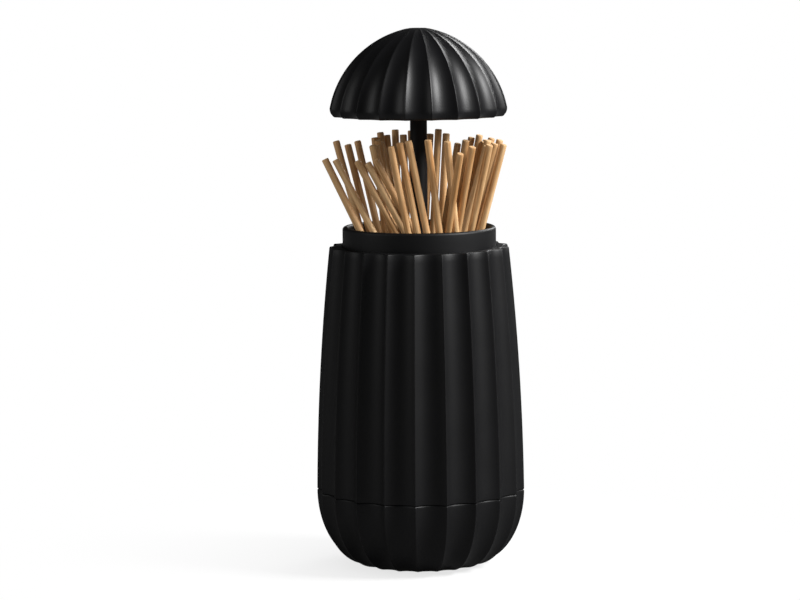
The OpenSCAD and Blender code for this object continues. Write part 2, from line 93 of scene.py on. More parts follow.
# ---- Shader graphs -------------------------------------------------------------------------


class Value:
    """One socket of a node graph, with arithmetic that adds Math nodes."""

    def __init__(self, graph, socket):
        self.graph = graph
        self.socket = socket

    def maths(self, operation, *inputs):
        return self.graph.node("ShaderNodeMath", {"operation": operation}, dict(enumerate(inputs)))

    def __add__(self, other):
        return self.maths("ADD", self, other)

    def __radd__(self, other):
        return self.maths("ADD", other, self)

    def __sub__(self, other):
        return self.maths("SUBTRACT", self, other)

    def __rsub__(self, other):
        return self.maths("SUBTRACT", other, self)

    def __mul__(self, other):
        return self.maths("MULTIPLY", self, other)

    def __rmul__(self, other):
        return self.maths("MULTIPLY", other, self)

    def __truediv__(self, other):
        return self.maths("DIVIDE", self, other)

    def __rtruediv__(self, other):
        return self.maths("DIVIDE", other, self)

    def at_most(self, other):
        return self.maths("MINIMUM", self, other)

    def at_least(self, other):
        return self.maths("MAXIMUM", self, other)


class Graph:
    """The node tree of one material or of the world."""

    def __init__(self, owner):
        owner.use_nodes = True
        self.tree = owner.node_tree
        self.tree.nodes.clear()

    def node(self, kind, settings=None, inputs=None, output=0):
        """A node with its settings, then its inputs, given as values or as links."""
        made = self.tree.nodes.new(kind)
        for name, value in (settings or {}).items():
            if name == "stops":
                self.set_stops(made.color_ramp, value)
            else:
                setattr(made, name, value)
        for key, value in (inputs or {}).items():
            if isinstance(value, Value):
                self.tree.links.new(value.socket, made.inputs[key])
            else:
                made.inputs[key].default_value = value
        return Value(self, made.outputs[output]) if len(made.outputs) else None

    @staticmethod
    def set_stops(ramp, stops):
        while len(ramp.elements) < len(stops):
            ramp.elements.new(0.5)
        for element, (place, colour) in zip(ramp.elements, stops):
            element.position = place
            element.color = (*colour, 1.0)

    def blend(self, share, first, second, mode="MIX"):
        """A colour between two colours."""
        settings = {"data_type": "RGBA", "blend_type": mode, "clamp_factor": True}
        return self.node("ShaderNodeMix", settings, {0: share, 6: first, 7: second}, output=2)

    def vector(self, operation, first, second):
        return self.node("ShaderNodeVectorMath", {"operation": operation}, {0: first, 1: second})

    def ramp(self, share, stops):
        return self.node("ShaderNodeValToRGB", {"stops": stops}, {0: share})

    def place(self):
        """Position in the object's own space, in metres."""
        return self.node("ShaderNodeTexCoord", output="Object")

    def noise(self, where, scale, detail=3.0, roughness=0.5):
        values = {"Vector": where, "Scale": scale, "Detail": detail, "Roughness": roughness}
        return self.node("ShaderNodeTexNoise", {}, values)

    def light_path(self, *outputs):
        """What kind of ray meets the surface, as one value for each output named."""
        first = self.node("ShaderNodeLightPath")
        return [Value(self, first.socket.node.outputs[name]) for name in outputs]

    def attribute(self, name, output="Fac"):
        return self.node("ShaderNodeAttribute", {"attribute_name": name}, output=output)

    def bump(self, height, distance, strength=1.0):
        values = {"Height": height, "Distance": distance, "Strength": strength}
        return self.node("ShaderNodeBump", {}, values)

    def surface(self, values):
        return self.node("ShaderNodeBsdfPrincipled", {}, values)

    def finish(self, shader):
        self.node("ShaderNodeOutputMaterial", {}, {"Surface": shader})


def rgba(colour):
    return (colour[0], colour[1], colour[2], 1.0)


def shade(colour, factor):
    return (colour[0] * factor, colour[1] * factor, colour[2] * factor, 1.0)


def new_material(name):
    material = bpy.data.materials.new(name)
    return material, Graph(material)


def satin_plastic(name, colour, gloss, grain):
    """Moulded satin plastic: faint mottling, uneven sheen and a fine spark-eroded grain."""
    material, graph = new_material(name)
    where = graph.place()
    cloud = graph.noise(where, 90.0, 4.0)
    fine = graph.noise(where, 2600.0, 2.0)
    colours = graph.blend(cloud, shade(colour, 0.82), shade(colour, 1.18))
    roughness = gloss + (cloud - 0.5) * 0.10 + (fine - 0.5) * 0.06
    height = fine * 0.7 + graph.noise(where, 700.0, 2.0) * 0.3
    graph.finish(graph.surface({
        "Base Color": colours,
        "Roughness": roughness,
        "Specular IOR Level": 0.3,
        "Normal": graph.bump(height, grain, 0.6),
    }))
    return material


def bamboo_wood(name, looks):
    """Bamboo split along its fibres: streaks along the pick, pores on its cut end."""
    material, graph = new_material(name)
    grain = graph.attribute("grain", "Vector")
    tint = graph.attribute("tint")
    cut = graph.attribute("cut_end")
    along = graph.vector("MULTIPLY", grain, (1.0, 1.0, 0.035))
    streak = graph.noise(along, 2300.0, 3.0, 0.6)
    fibre = graph.noise(along, 6500.0, 2.0, 0.5)
    slow = graph.noise(graph.vector("MULTIPLY", grain, (1.0, 1.0, 0.12)), 420.0, 2.0)
    light, dark = rgba(looks.bamboo_light), rgba(looks.bamboo_dark)
    tone = (streak - 0.5) * 1.5 + (slow - 0.5) * 1.1 + (fibre - 0.5) * 0.5 + tint
    side = graph.blend(tone, dark, light)
    lines = graph.ramp(fibre, [(0.30, (0.62, 0.50, 0.36)), (0.43, (1.0, 1.0, 1.0))])
    side = graph.blend(0.55, side, lines, "MULTIPLY")
    pores = graph.noise(grain, 5200.0, 2.0, 0.7)
    end = graph.blend(pores * 1.3 - 0.2, dark, rgba(looks.bamboo_end))
    height = streak * 0.6 + fibre * 0.4
    graph.finish(graph.surface({
        "Base Color": graph.blend(cut, side, end),
        "Roughness": 0.56 + (fibre - 0.5) * 0.2,
        "Specular IOR Level": 0.35,
        "Normal": graph.bump(height, 0.00006, 0.8),
    }))
    return material


def drawn_steel(name, colour, stretch):
    """Bright steel with fine lines along or round the part."""
    material, graph = new_material(name)
    where = graph.vector("MULTIPLY", graph.place(), stretch)
    lines = graph.noise(where, 1800.0, 3.0)
    graph.finish(graph.surface({
        "Base Color": graph.blend(lines, shade(colour, 0.86), rgba(colour)),
        "Metallic": 1.0,
        "Roughness": 0.26 + (lines - 0.5) * 0.18,
        "Normal": graph.bump(lines, 0.00002, 0.5),
    }))
    return material


def moulded_nylon(name, colour):
    """Milky moulded nylon with faint flow marks."""
    material, graph = new_material(name)
    flow = graph.noise(graph.place(), 160.0, 4.0, 0.6)
    graph.finish(graph.surface({
        "Base Color": graph.blend(flow, shade(colour, 0.9), rgba(colour)),
        "Roughness": 0.42 + (flow - 0.5) * 0.12,
        "Normal": graph.bump(flow, 0.00003, 0.5),
    }))
    return material


def foam_rubber(name, colour):
    """Dull grey rubber with a closed-cell speckle."""
    material, graph = new_material(name)
    cells = graph.noise(graph.place(), 2400.0, 3.0, 0.7)
    graph.finish(graph.surface({
        "Base Color": graph.blend(cells, shade(colour, 0.7), shade(colour, 1.3)),
        "Roughness": 0.85 + (cells - 0.5) * 0.1,
        "Normal": graph.bump(cells, 0.00008, 0.8),
    }))
    return material


# ---- Meshes --------------------------------------------------------------------------------


def add_object(name, points, faces, material, flat_above=None):
    """A smooth mesh object from points in millimetres; edges sharper than flat_above stay sharp."""
    mesh = bpy.data.meshes.new(name)
    mesh.from_pydata((np.asarray(points, float) * MM).tolist(), [], faces)
    mesh.materials.append(material)
    mesh.polygons.foreach_set("use_smooth", [True] * len(mesh.polygons))
    if flat_above is not None:
        mesh.set_sharp_from_angle(angle=math.radians(flat_above))
    mesh.update()
    made = bpy.data.objects.new(name, mesh)
    bpy.context.scene.collection.objects.link(made)
    return made


def corner_round(r0, r1, z0, z1, steps, depth=0.0):
    """Rings of a rounded corner that leaves (r0, z0) level and meets (r1, z1) upright."""
    rings = []
    for step in range(steps + 1):
        a = math.radians(90.0 * step / steps)
        rings.append((r0 + (r1 - r0) * math.sin(a), z0 + (z1 - z0) * (1 - math.cos(a)), depth))
    return rings


class FlutedShell:
    """A shell whose outside is cut by arcs that meet in slightly softened edges."""

    def __init__(self, count, turn, edge, stations=20):
        self.pitch = 2 * math.pi / count
        spread = np.sin(np.linspace(-1, 1, stations + 1)[:-1] * math.pi / 2)
        inside = spread * self.pitch / 2
        starts = np.arange(count) * self.pitch
        self.inside = np.tile(inside, count)
        self.angle = (np.repeat(starts, stations) + self.inside + self.pitch / 2
                      + math.radians(FRONT + turn))
        self.edge = edge

    def ring(self, radius, depth):
        """Radii of a ring over its edges, or of a plain circle where it has no flutes."""
        if depth <= 0:
            return np.full(len(self.angle), radius)
        half = self.pitch / 2
        centre = depth * (2 * radius - depth) / (2 * (depth - radius * (1 - math.cos(half))))
        arc = centre - radius + depth
        from_edge = half - np.abs(self.inside)
        softened = np.sqrt(from_edge ** 2 + (self.edge / radius) ** 2)
        a = half - np.minimum(softened, half)
        return centre * np.cos(a) - np.sqrt(arc ** 2 - (centre * np.sin(a)) ** 2)

    def build(self, name, rings, material, tip=None, sharp=SHELL_SHARP):
        """A closed shell through rings (radius, height, flute depth), capped after ring tip."""
        count = len(self.angle)
        points = []
        for radius, z, depth in rings:
            r = self.ring(radius, depth)
            points.append(np.stack([r * np.cos(self.angle), r * np.sin(self.angle),
                                    np.full(count, z)], axis=1))
        here = np.arange(count)
        after = (here + 1) % count
        faces = []
        for i in range(len(rings)):
            j = (i + 1) % len(rings)
            if i == tip:
                continue
            quads = np.stack([i * count + here, i * count + after,
                              j * count + after, j * count + here], axis=1)
            faces.extend(quads.tolist())
        if tip is not None:
            faces.append((tip * count + here).tolist())
            faces.append(((tip + 1) * count + here[::-1]).tolist())
        return add_object(name, np.concatenate(points), faces, material, sharp)


def lathe(name, rings, material, sides=192):
    """A closed turned piece through rings (radius, height)."""
    plain = FlutedShell(sides, 0.0, 0.0, stations=1)
    return plain.build(name, [(r, z, 0.0) for r, z in rings], material, sharp=TURNED_SHARP)


def loose_parts(mesh):
    """Point clouds in millimetres of the separate solids in a mesh."""
    points = np.zeros(len(mesh.vertices) * 3)
    mesh.vertices.foreach_get("co", points)
    points = points.reshape(-1, 3) / MM
    _, same = np.unique(np.round(points, 3), axis=0, return_inverse=True)
    same = same.reshape(-1)
    parent = np.arange(same.max() + 1)

    def root(i):
        while parent[i] != i:
            parent[i] = parent[parent[i]]
            i = parent[i]
        return i

    for edge in mesh.edges:
        a, b = root(same[edge.vertices[0]]), root(same[edge.vertices[1]])
        if a != b:
            parent[a] = b
    roots = np.array([root(i) for i in same])
    return [points[roots == r] for r in sorted(set(roots.tolist()))]


def pick_axis(cloud, end_slice=0.05):
    """The ends of a pick's axis, its pointed end first."""
    middle = cloud.mean(axis=0)
    direction = np.linalg.svd(cloud - middle)[2][0]
    along = (cloud - middle) @ direction
    ends = []
    for at_end in (along < along.min() + end_slice, along > along.max() - end_slice):
        centre = cloud[at_end].mean(axis=0)
        ends.append((centre, np.linalg.norm(cloud[at_end] - centre, axis=1).max()))
    (low, low_spread), (high, high_spread) = ends
    return (low, high) if low_spread < high_spread else (high, low)


# ---- Sizes and colours that a user would change -----------------------------------------------


def length(name, description, default):
    return bpy.props.FloatProperty(name=name, description=description, default=default,
                                   subtype="DISTANCE", unit="LENGTH", precision=5)


def angle(name, description, default):
    return bpy.props.FloatProperty(name=name, description=description,
                                   default=math.radians(default), subtype="ANGLE", unit="ROTATION")


def colour(name, description, default):
    return bpy.props.FloatVectorProperty(name=name, description=description, default=default,
                                         subtype="COLOR", size=3, min=0.0, max=1.0)


def share(name, description, default):
    return bpy.props.FloatProperty(name=name, description=description, default=default,
                                   subtype="FACTOR", min=0.0, max=1.0)


def power(name, description, default):
    return bpy.props.FloatProperty(name=name, description=description, default=default,
                                   unit="POWER")


_, SHELL_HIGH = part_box("body_shell")
BOWL_LOW, BOWL_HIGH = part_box("base_bowl")
LID_LOW, LID_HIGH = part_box("lid_dome")
CUP_LOW, CUP_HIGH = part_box("inner_cup")


class DispenserSizes(bpy.types.PropertyGroup):
    """Sizes of the three fluted shells and of the collar."""

    flute_count: bpy.props.IntProperty(
        name="Flutes", description="Flutes round each shell", default=21, min=15, max=28)
    flute_depth: length("Flute depth", "Depth of a body flute at the seam", 0.0019)
    lid_flute_depth: length("Lid flute depth", "Depth of a lid flute at the lid's rim", 0.0015)
    flute_edge: length("Flute edge", "Softness of the edge between two flutes", 0.00012)
    body_turn: angle("Body turn", "Turn of the body's first flute edge from the front", -3.1)
    lid_turn: angle("Lid turn", "Turn of the lid's first flute edge from the front", -8.5)
    body_radius: length("Body radius", "Radius over the flute edges at the seam", 0.0285)
    shoulder_radius: length(
        "Shoulder radius", "Radius over the flute edges at the shoulder", 0.0245)
    body_bulge: length("Body bulge", "How far the side stands out at half height", 0.0008)
    seam_height: length("Seam height", "Height of the seam above the table", BOWL_HIGH.z)
    shoulder_height: length("Shoulder height", "Height of the body's shoulder", SHELL_HIGH.z)
    edge_round: length("Edge round", "Round of the two edges that meet at the seam", 0.0004)
    foot_radius: length("Foot radius", "Radius of the bowl's edge at the foot", 0.0155)
    foot_gap: length("Foot gap", "Gap under the bowl's edge", BOWL_LOW.z)
    cup_radius: length("Collar radius", "Outer radius of the cup", (CUP_HIGH.x - CUP_LOW.x) / 2)
    cup_wall: length("Cup wall", "Wall of the cup", 0.0015)
    lid_radius: length("Lid radius", "Radius over the flute edges at the lid's rim", 0.0242)
    lid_rim_height: length("Lid rim height", "Height of the lid's rim when raised", LID_LOW.z)
    lid_height: length("Lid height", "Height of the lid from rim to tip", LID_HIGH.z - LID_LOW.z)
    tip_radius: length("Tip radius", "Radius of the flat disc at the lid's tip", 0.0025)


class DispenserColours(bpy.types.PropertyGroup):
    """Colours and finishes of the dispenser and its picks."""

    body_black: colour("Body", "Satin black of the body and bowl", (0.0021, 0.0021, 0.0026))
    lid_black: colour("Lid", "Satin black of the lid", (0.0034, 0.0034, 0.0040))
    inner_black: colour("Inside", "Black of the inner mouldings", (0.0026, 0.0026, 0.0031))
    body_sheen: share("Body roughness", "Roughness of the body and bowl", 0.50)
    lid_sheen: share("Lid roughness", "Roughness of the lid", 0.42)
    cup_sheen: share("Collar roughness", "Roughness of the cup and stem", 0.52)
    bamboo_light: colour("Bamboo, light", "Light streaks of a pick", (0.74, 0.49, 0.25))
    bamboo_dark: colour("Bamboo, dark", "Dark streaks of a pick", (0.40, 0.185, 0.055))
    bamboo_end: colour("Bamboo, end", "Cut end of a pick", (0.84, 0.61, 0.35))
    steel: colour("Steel", "Drawn steel of the spring and screws", (0.62, 0.62, 0.64))
    nylon: colour("Nylon", "Milky nylon of the latch", (0.78, 0.77, 0.72))
    rubber: colour("Rubber", "Grey rubber of the foot pad", (0.035, 0.035, 0.036))


class DispenserStudio(bpy.types.PropertyGroup):
    """Camera, lamps and background."""

    camera_distance: length("Camera distance", "From the dispenser's axis to the camera", 0.800)
    camera_height: length("Camera height", "Height of the camera above the table", 0.1696)
    camera_pitch: angle("Camera pitch", "How far the camera looks down", 6.929)
    camera_yaw: angle("Camera yaw", "How far the camera looks to the left of the axis", 0.383)
    camera_roll: angle("Camera roll", "How far the camera leans", -0.434)
    camera_lens: bpy.props.FloatProperty(
        name="Lens", description="Focal length in millimetres", default=133.45, unit="CAMERA")
    key_power: power("Key lamp", "Power of the key lamp", 14.0)
    fill_power: power("Fill lamp", "Power of the fill lamp", 1.4)
    rim_power: power("Rim lamp", "Power of the lamp behind", 3.5)
    room_light: share("Room light", "Light of the room that reaches the dispenser", 0.50)
    floor_bounce: colour(
        "Floor bounce", "Floor colour that lights the dispenser", (0.15, 0.15, 0.15))
    gloss_share: share("White in gloss", "Share of the white surround that gloss shows", 0.03)


def sizes():
    return bpy.context.scene.dispenser_sizes


def looks():
    return bpy.context.scene.dispenser_colours


def mm(value):
    return value / MM


def replace_node(piece, node):
    """A piece rides on its CAD node's body and stands for that node."""
    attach(piece, frame["nodes"][node]["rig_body"])
    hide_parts(node)


def finish_nodes(names, material):
    """CAD nodes whose shape is right get their material."""
    for name in names:
        mesh = frame["nodes"][name].data
        mesh.materials.clear()
        mesh.materials.append(material)


# ---- Pieces --------------------------------------------------------------------------------


class BodyShape:
    """Rings of the body and the bowl, which share their flutes, in millimetres."""

    side_steps = 36
    edge_angles = range(0, 91, 15)
    edge_flat = 0.12  # level ring past the round of an edge
    body_wall = 1.9
    neck_gap, neck_round, neck_flat, neck_length = 0.1, 0.2, 0.35, 8.0
    neck_slope = 1.0  # height over which the neck widens to the body's inside

    bowl_steps = 30
    bowl_levels = (17.5, 14.5, 12.0, 9.5, 7.5, 6.0)  # heights of the rings inside the bowl
    bowl_wall, bowl_floor, bowl_hole, floor_round = 1.8, 1.6, 11.5, 2.6
    seat_depth = 1.3  # from the bowl's lower edge up to the foot plate's seat
    foot_width, foot_chamfer = 1.1, 0.15
    foot_out, foot_up, foot_flutes = 0.3, 0.003, 0.8  # last ring under the bowl

    def __init__(self, s):
        self.r, self.top_r = mm(s.body_radius), mm(s.shoulder_radius)
        self.bulge, self.depth = mm(s.body_bulge), mm(s.flute_depth)
        self.seam, self.top = mm(s.seam_height), mm(s.shoulder_height)
        self.round = mm(s.edge_round)
        self.foot_r, self.foot = mm(s.foot_radius), mm(s.foot_gap)
        self.cup_r = mm(s.cup_radius)
        self.shell = FlutedShell(s.flute_count, math.degrees(s.body_turn), mm(s.flute_edge))

    def radius(self, z):
        t = (z - self.seam) / (self.top - self.seam)
        return self.r + (self.top_r - self.r) * t + 4 * self.bulge * t * (1 - t)

    def flutes(self, radius):
        return self.depth * radius / self.r

    def side(self, z, inset=0.0):
        r = self.radius(z)
        return (r - inset, z, self.flutes(r))

    def inside(self, z):
        r = self.radius(z)
        return (r - self.flutes(r) - self.body_wall, z, 0.0)

    def edge(self, turned):
        """How far a rounded edge is from its two faces, turned by degrees from its side."""
        a = math.radians(turned)
        return self.round * (1 - math.cos(a)), self.round * (1 - math.sin(a))

    def body_rings(self):
        rings = []
        for turned in self.edge_angles[:-1]:
            rise, inset = self.edge(turned)
            rings.append(self.side(self.seam + rise, inset))
        low, high = self.seam + self.round, self.top - self.round
        rings += [self.side(low + (high - low) * k / self.side_steps)
                  for k in range(self.side_steps + 1)]
        top_flutes = self.flutes(self.top_r)
        for turned in self.edge_angles[1:]:
            inset, drop = self.edge(turned)
            rings.append((self.top_r - inset, self.top - drop, top_flutes))
        rings.append((self.top_r - self.round - self.edge_flat, self.top, top_flutes))
        neck = self.cup_r + self.neck_gap
        rings.append((neck + self.neck_flat, self.top, 0.0))
        rings += corner_round(neck + self.neck_round, neck, self.top,
                              self.top - self.neck_round, 4)
        rings.append((neck, self.top - self.neck_length, 0.0))
        below = self.top - self.neck_length - self.neck_slope
        rings += [self.inside(below - (below - self.seam) * k / 4) for k in range(5)]
        return rings

    def bowl_rings(self):
        rise, spread = self.seam - self.foot, self.r - self.foot_r
        rings = []
        for k in range(1, self.bowl_steps + 1):
            a = math.radians(90.0 * k / self.bowl_steps)
            r = self.foot_r + spread * math.sin(a)
            rings.append((r, self.seam - rise * math.cos(a), self.flutes(r)))
        edge_start = self.seam - self.round - 0.1
        rings = [ring for ring in rings if ring[1] < edge_start]
        for turned in self.edge_angles:
            inset, drop = self.edge(turned)
            rings.append((self.r - inset, self.seam - drop, self.depth))
        rings.append((self.r - self.round - self.edge_flat, self.seam, self.depth))
        for z in (self.seam, *self.bowl_levels):
            a = math.acos((self.seam - z) / rise)
            r = self.foot_r + spread * math.sin(a)
            rings.append((r - self.flutes(r) - self.bowl_wall, z, 0.0))
        seat = self.foot + self.seat_depth
        floor = seat + self.bowl_floor
        rings += [(rings[-1][0] - self.floor_round, floor, 0.0), (self.bowl_hole, floor, 0.0),
                  (self.bowl_hole, seat, 0.0)]
        inner = self.foot_r - self.foot_width
        rings += [(inner, seat, 0.0), (inner, self.foot + self.foot_chamfer, 0.0),
                  (inner + self.foot_chamfer, self.foot, 0.0)]
        rings.append((self.foot_r + self.foot_out, self.foot + self.foot_up,
                      self.flutes(self.foot_r) * self.foot_flutes))
        return rings


class DISPENSER_OT_body(bpy.types.Operator):
    """Build the fluted body with its shoulder and neck"""

    bl_idname = "dispenser.body"
    bl_label = "Fluted Body"

    def execute(self, context):
        shape = BodyShape(sizes())
        black = satin_plastic("body_satin_black", looks().body_black, looks().body_sheen,
                              SHELL_GRAIN)
        piece = shape.shell.build("body_fluted", shape.body_rings(), black)
        replace_node(piece, "body_shell")
        return {"FINISHED"}


class DISPENSER_OT_bowl(bpy.types.Operator):
    """Build the fluted bowl below the seam"""

    bl_idname = "dispenser.bowl"
    bl_label = "Fluted Bowl"

    def execute(self, context):
        shape = BodyShape(sizes())
        black = satin_plastic("bowl_satin_black", looks().body_black, looks().body_sheen,
                              SHELL_GRAIN)
        piece = shape.shell.build("bowl_fluted", shape.bowl_rings(), black)
        replace_node(piece, "base_bowl")
        return {"FINISHED"}


class DISPENSER_OT_lid(bpy.types.Operator):
    """Build the fluted dome of the lid"""

    bl_idname = "dispenser.lid"
    bl_label = "Fluted Lid"

    # Sizes in millimetres, heights counted from the rim
    rim_height, rim_round, rim_steps = 2.0, 1.2, 10
    past_axis = 2.6  # the dome's arc is centred this far past the axis
    dome_steps = 48
    tip_out, tip_drop, tip_insets = 0.05, 0.06, (0.25, 0.45)
    wall = 1.2
    inner_steps, inner_hole = 12, 1.0
    inner_low, inner_end, bore_top = 7.8, 6.2, 5.0
    bore_gap, bore_chamfer, bore_round = 0.4, 0.3, 0.09

    def execute(self, context):
        s = sizes()
        rim_r, rim_z, high = mm(s.lid_radius), mm(s.lid_rim_height), mm(s.lid_height)
        tip_r, depth = mm(s.tip_radius), mm(s.lid_flute_depth)
        band, past = self.rim_height, self.past_axis
        centre = (high ** 2 - band ** 2 - (rim_r + past) ** 2 + (tip_r + past) ** 2)
        centre /= 2 * (high - band)
        dome = math.hypot(tip_r + past, high - centre)
        start, stop = math.asin((band - centre) / dome), math.asin((high - centre) / dome)
        rim = corner_round(rim_r - self.rim_round, rim_r, 0.0, band, self.rim_steps, depth)
        rings = [(r, rim_z + z, flutes) for r, z, flutes in rim[:-1]]
        for k in range(self.dome_steps + 1):
            a = start + (stop - start) * k / self.dome_steps
            r = dome * math.cos(a) - past
            rings.append((r, rim_z + centre + dome * math.sin(a), depth * r / rim_r))
        rings[-1] = (tip_r + self.tip_out, rim_z + high - self.tip_drop, depth * tip_r / rim_r)
        rings += [(tip_r - inset, rim_z + high, 0.0) for inset in self.tip_insets]
        tip = len(rings) - 1
        inner = dome - depth - self.wall
        top = centre + math.sqrt(inner ** 2 - (past + self.inner_hole) ** 2)
        heights = []
        for k in range(self.inner_steps + 1):
            a = math.radians(90 * k / self.inner_steps)
            heights.append(self.inner_low + (top - self.inner_low) * math.cos(a))
        for z in (*heights, self.inner_end):
            rings.append((math.sqrt(inner ** 2 - (z - centre) ** 2) - past, rim_z + z, 0.0))
        bore = mm(s.cup_radius) + self.bore_gap
        rings += [(bore, rim_z + self.bore_top, 0.0), (bore, rim_z + self.bore_chamfer, 0.0),
                  (bore + self.bore_round, rim_z + self.bore_round, 0.0),
                  (bore + self.bore_chamfer, rim_z, 0.0)]
        shell = FlutedShell(s.flute_count, math.degrees(s.lid_turn), mm(s.flute_edge))
        black = satin_plastic("lid_satin_black", looks().lid_black, looks().lid_sheen,
                              SHELL_GRAIN)
        piece = shell.build("lid_fluted", rings, black, tip=tip)
        replace_node(piece, "lid_dome")
        return {"FINISHED"}


class DISPENSER_OT_collar(bpy.types.Operator):
    """Build the smooth cup whose rounded rim is the collar"""

    bl_idname = "dispenser.collar"
    bl_label = "Collar and Cup"

    low_ring, high_ring, rim_ring = 20.0, 12.0, 2.0  # rings that keep the straight walls even

    def execute(self, context):
        s = sizes()
        outer, wall = mm(s.cup_radius), mm(s.cup_wall)
        low, high = mm(CUP_LOW.z), mm(CUP_HIGH.z)
        edge = wall / 2
        middle, round_z = outer - edge, high - edge
        rings = [(outer, low), (outer, low + self.low_ring), (outer, high - self.high_ring),
                 (outer, round_z - self.rim_ring)]
        for turned in range(0, 181, 12):
            a = math.radians(turned)
            rings.append((middle + edge * math.cos(a), round_z + edge * math.sin(a)))
        inner = outer - wall
        rings += [(inner, round_z - self.rim_ring), (inner, high - self.high_ring), (inner, low)]
        black = satin_plastic("collar_satin_black", looks().inner_black, looks().cup_sheen,
                              CUP_GRAIN)
        piece = lathe("collar_cup", rings, black)
        replace_node(piece, "inner_cup")
        return {"FINISHED"}


class DISPENSER_OT_picks(bpy.types.Operator):
    """Build every bamboo pick on the axis of its CAD solid"""

    bl_idname = "dispenser.picks"
    bl_label = "Bamboo Picks"

    # Sizes in millimetres, places counted along the pick from its point
    sides = 16
    point_places = (0.0, 0.5, 2.0, 4.0, 6.0, 8.0, 9.5)
    shaft_start, shaft_end, shaft_rings = 12.0, 1.0, 14
    head_bevel = (0.28, 0.10, 0.0)
    point_radius, taper = 0.35, 8.0
    bevel_share, head_share = 0.95, 0.84
    dish_share, dish_depth, centre_depth = 0.55, 0.015, 0.03

    def pick(self, point, head, rng):
        """Points, faces and grain of one pick, slightly bowed and not quite round."""
        run = head - point
        long = np.linalg.norm(run)
        axis = run / long
        across = np.cross(axis, (0.0, 0.0, 1.0) if abs(axis[2]) < 0.9 else (1.0, 0.0, 0.0))
        across /= np.linalg.norm(across)
        other = np.cross(axis, across)
        places = list(self.point_places)
        places += list(np.linspace(self.shaft_start, long - self.shaft_end, self.shaft_rings))
        places += [long - back for back in self.head_bevel]
        turn = np.arange(self.sides) * 2 * math.pi / self.sides
        full = rng.uniform(0.94, 0.985)
        flat = rng.uniform(0.0, 0.035)
        lean = rng.uniform(0, 2 * math.pi)
        bow = rng.uniform(0.0, 0.012)
        bow_turn = rng.uniform(0, 2 * math.pi)
        points, grain = [], []
        shift = rng.uniform(0.0, 0.2, 3)
        for place in places:
            base = self.point_radius + (1 - self.point_radius) * min(place / self.taper, 1.0)
            if place > long - self.head_bevel[0] / 2:
                base *= self.bevel_share if place < long else self.head_share
            wobble = 1 + 0.008 * math.sin(place * 0.7 + lean)
            r = base * full * wobble * (1 - flat * np.cos(turn - lean) ** 2)
            off = bow * math.sin(math.pi * place / long)
            centre = point + axis * place + off * (
                across * math.cos(bow_turn) + other * math.sin(bow_turn))
            points.append(centre + np.outer(r * np.cos(turn), across)
                          + np.outer(r * np.sin(turn), other))
            local = np.stack([r * np.cos(turn), r * np.sin(turn), np.full(self.sides, place)], 1)
            grain.append(local * MM + shift)
        rows = len(places)
        here = np.arange(self.sides)
        after = (here + 1) % self.sides
        faces = []
        for i in range(rows - 1):
            quads = np.stack([i * self.sides + here, i * self.sides + after,
                              (i + 1) * self.sides + after, (i + 1) * self.sides + here], axis=1)
            faces += quads.tolist()
        # The cut end has a ring of its own, a dished ring inside it and a centre
        head_ring, head_grain = points[-1], grain[-1]
        dish_grain = head_grain.copy()
        dish_grain[:, :2] = shift[:2] + (head_grain[:, :2] - shift[:2]) * self.dish_share
        points += [head_ring,
                   head + (head_ring - head) * self.dish_share - axis * self.dish_depth,
                   np.array([head - axis * self.centre_depth])]
        grain += [head_grain, dish_grain,
                  np.array([[shift[0], shift[1], long * MM + shift[2]]])]
        k = rows * self.sides
        dish = k + self.sides
        quads = np.stack([k + here, k + after, dish + after, dish + here], 1)
        faces += quads.tolist()
        centre_index = dish + self.sides
        faces += [[dish + a, dish + b, centre_index] for a, b in zip(here, after)]
        points.append(np.array([point]))
        grain.append(np.array([shift]))
        faces += [[b, a, centre_index + 1] for a, b in zip(here, after)]
        cut = np.zeros(centre_index + 2)
        cut[k:centre_index + 1] = 1.0
        return np.concatenate(points), faces, np.concatenate(grain), cut

    def execute(self, context):
        wood = bamboo_wood("bamboo", looks())
        rng = np.random.default_rng(11)
        bundles = sorted(n for n in frame["nodes"] if n.startswith("picks_"))
        if not bundles:
            raise RuntimeError("the packed model has no bundle of picks")
        for node in bundles:
            points, faces, grain, cut, tint = [], [], [], [], []
            start = 0
            for cloud in loose_parts(frame["nodes"][node].data):
                point, head = pick_axis(cloud)
                p, f, g, c = self.pick(point, head, rng)
                points.append(p)
                faces += [[i + start for i in face] for face in f]
                grain.append(g)
                cut.append(c)
                tint.append(np.full(len(p), rng.uniform(0.28, 0.86)))
                start += len(p)
            piece = add_object(node + "_bamboo", np.concatenate(points), faces, wood, FINE_SHARP)
            for name, kind, field, values in (("grain", "FLOAT_VECTOR", "vector", grain),
                                              ("cut_end", "FLOAT", "value", cut),
                                              ("tint", "FLOAT", "value", tint)):
                attribute = piece.data.attributes.new(name, kind, "POINT")
                attribute.data.foreach_set(
                    field, np.concatenate(values).astype(np.float32).ravel())
            replace_node(piece, node)
        return {"FINISHED"}


class DISPENSER_OT_mouldings(bpy.types.Operator):
    """Finish the stem, tray, inner base, foot plate, pad and the lid's inner plate"""

    bl_idname = "dispenser.mouldings"
    bl_label = "Inner Mouldings"

    def execute(self, context):
        black = satin_plastic("inner_satin_black", looks().inner_black, looks().cup_sheen,
                              INNER_GRAIN)
        finish_nodes(["stem", "lift_tray", "inner_base", "foot_plate", "lid_core"], black)
        finish_nodes(["foot_pad"], foam_rubber("pad_rubber", looks().rubber))
        finish_nodes(["latch_sleeve", "latch_rotor", "stem_bush"],
                     moulded_nylon("milky_nylon", looks().nylon))
        return {"FINISHED"}


